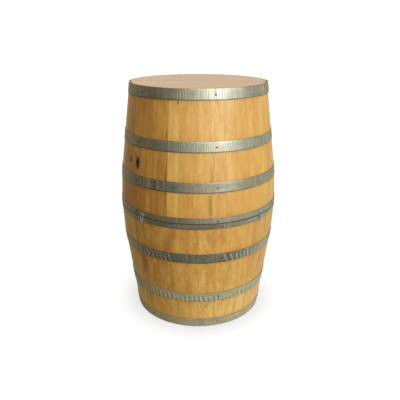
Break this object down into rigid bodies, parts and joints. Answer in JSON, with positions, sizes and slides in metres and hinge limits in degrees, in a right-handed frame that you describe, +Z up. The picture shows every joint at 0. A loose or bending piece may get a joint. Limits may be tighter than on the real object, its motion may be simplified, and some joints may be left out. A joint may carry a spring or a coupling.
{
  "type": "oak wine barrel",
  "caption": "Upright oak wine barrel with galvanised hoops and a flush wooden top, cut across at the bilge so that its upper half lifts off when the draw latches are opened.",
  "frame": {"origin": "on the floor at the middle of the base", "axes": "+Z up along the barrel's axis, -Y towards the front"},
  "size_m": [0.6419, 0.642, 0.95],
  "materials": {
    "stave_oak": "aged oak, lightly oiled",
    "hoop_steel": "weathered galvanised strip",
    "rivet_steel": "weathered galvanised",
    "nail_steel": "dark, lightly rusted",
    "head_oak": "raw oak",
    "plain_oak": "raw oak",
    "tabletop_wood": "sanded, pale",
    "latch_steel": "bright zinc plate"
  },
  "bodies": {
    "lower_half": {"lower_staves_01": "stave_oak", "lower_staves_02": "stave_oak", "lower_staves_03": "stave_oak", "lower_staves_04": "stave_oak", "lower_staves_05": "stave_oak", "lower_staves_06": "stave_oak", "lower_staves_07": "stave_oak", "lower_staves_08": "stave_oak", "lower_staves_09": "stave_oak", "lower_staves_10": "stave_oak", "lower_staves_11": "stave_oak", "lower_staves_12": "stave_oak", "lower_staves_13": "stave_oak", "lower_staves_14": "stave_oak", "lower_seam_hoop": "hoop_steel", "lower_bilge_hoop": "hoop_steel", "lower_quarter_hoop": "hoop_steel", "lower_chime_hoop": "hoop_steel", "lower_hoop_rivets": "rivet_steel", "lower_hoop_nails": "nail_steel", "lower_head_boards": "head_oak", "lower_head_dowels": "plain_oak", "latch_brackets": "latch_steel", "latch_pins": "latch_steel", "lower_latch_screws": "nail_steel"},
    "upper_half": {"upper_staves_01": "stave_oak", "upper_staves_02": "stave_oak", "upper_staves_03": "stave_oak", "upper_staves_04": "stave_oak", "upper_staves_05": "stave_oak", "upper_staves_06": "stave_oak", "upper_staves_07": "stave_oak", "upper_staves_08": "stave_oak", "upper_staves_09": "stave_oak", "upper_staves_10": "stave_oak", "upper_staves_11": "stave_oak", "upper_staves_12": "stave_oak", "upper_staves_13": "stave_oak", "upper_staves_14": "stave_oak", "upper_chime_hoop": "hoop_steel", "upper_quarter_hoop": "hoop_steel", "upper_bilge_hoop": "hoop_steel", "upper_seam_hoop": "hoop_steel", "upper_hoop_rivets": "rivet_steel", "upper_hoop_nails": "nail_steel", "upper_head_boards": "head_oak", "upper_head_dowels": "plain_oak", "tabletop": "tabletop_wood", "tabletop_battens": "plain_oak", "latch_keepers": "latch_steel", "upper_latch_screws": "nail_steel"},
    "latch_1_lever": {"latch_1_lever": "latch_steel"},
    "latch_1_loop": {"latch_1_loop": "latch_steel"},
    "latch_2_lever": {"latch_2_lever": "latch_steel"},
    "latch_2_loop": {"latch_2_loop": "latch_steel"},
    "latch_3_lever": {"latch_3_lever": "latch_steel"},
    "latch_3_loop": {"latch_3_loop": "latch_steel"},
    "latch_4_lever": {"latch_4_lever": "latch_steel"},
    "latch_4_loop": {"latch_4_loop": "latch_steel"}
  },
  "joints": [
    {"name": "upper_half_lift", "type": "slide", "parent": "lower_half", "child": "upper_half", "axis": [0, 0, 1], "range_m": [0, 0.6]},
    {"name": "latch_1_lever_hinge", "type": "hinge", "parent": "lower_half", "child": "latch_1_lever", "pos_m": [-0.21384, -0.24427, 0.463], "axis": [-0.7524, 0.6587, 0], "range_deg": [0, 120]},
    {"name": "latch_1_loop_hinge", "type": "hinge", "parent": "latch_1_lever", "child": "latch_1_loop", "pos_m": [-0.21384, -0.24427, 0.457], "axis": [0.7524, -0.6587, 0], "range_deg": [0, 180]},
    {"name": "latch_2_lever_hinge", "type": "hinge", "parent": "lower_half", "child": "latch_2_lever", "pos_m": [0.2405, -0.21807, 0.463], "axis": [-0.6717, -0.7408, 0], "range_deg": [0, 120]},
    {"name": "latch_2_loop_hinge", "type": "hinge", "parent": "latch_2_lever", "child": "latch_2_loop", "pos_m": [0.2405, -0.21807, 0.457], "axis": [0.6717, 0.7408, 0], "range_deg": [0, 180]},
    {"name": "latch_3_lever_hinge", "type": "hinge", "parent": "lower_half", "child": "latch_3_lever", "pos_m": [0.21512, 0.24315, 0.463], "axis": [0.749, -0.6626, 0], "range_deg": [0, 120]},
    {"name": "latch_3_loop_hinge", "type": "hinge", "parent": "latch_3_lever", "child": "latch_3_loop", "pos_m": [0.21512, 0.24315, 0.457], "axis": [-0.749, 0.6626, 0], "range_deg": [0, 180]},
    {"name": "latch_4_lever_hinge", "type": "hinge", "parent": "lower_half", "child": "latch_4_lever", "pos_m": [-0.24315, 0.21512, 0.463], "axis": [0.6626, 0.749, 0], "range_deg": [0, 120]},
    {"name": "latch_4_loop_hinge", "type": "hinge", "parent": "latch_4_lever", "child": "latch_4_loop", "pos_m": [-0.24315, 0.21512, 0.457], "axis": [-0.6626, -0.749, 0], "range_deg": [0, 180]}
  ],
  "couplings": [
    {"joint": "latch_1_loop_hinge", "follows": "latch_1_lever_hinge", "ratio": 1.5},
    {"joint": "latch_2_loop_hinge", "follows": "latch_2_lever_hinge", "ratio": 1.5},
    {"joint": "latch_3_loop_hinge", "follows": "latch_3_lever_hinge", "ratio": 1.5},
    {"joint": "latch_4_loop_hinge", "follows": "latch_4_lever_hinge", "ratio": 1.5}
  ]
}
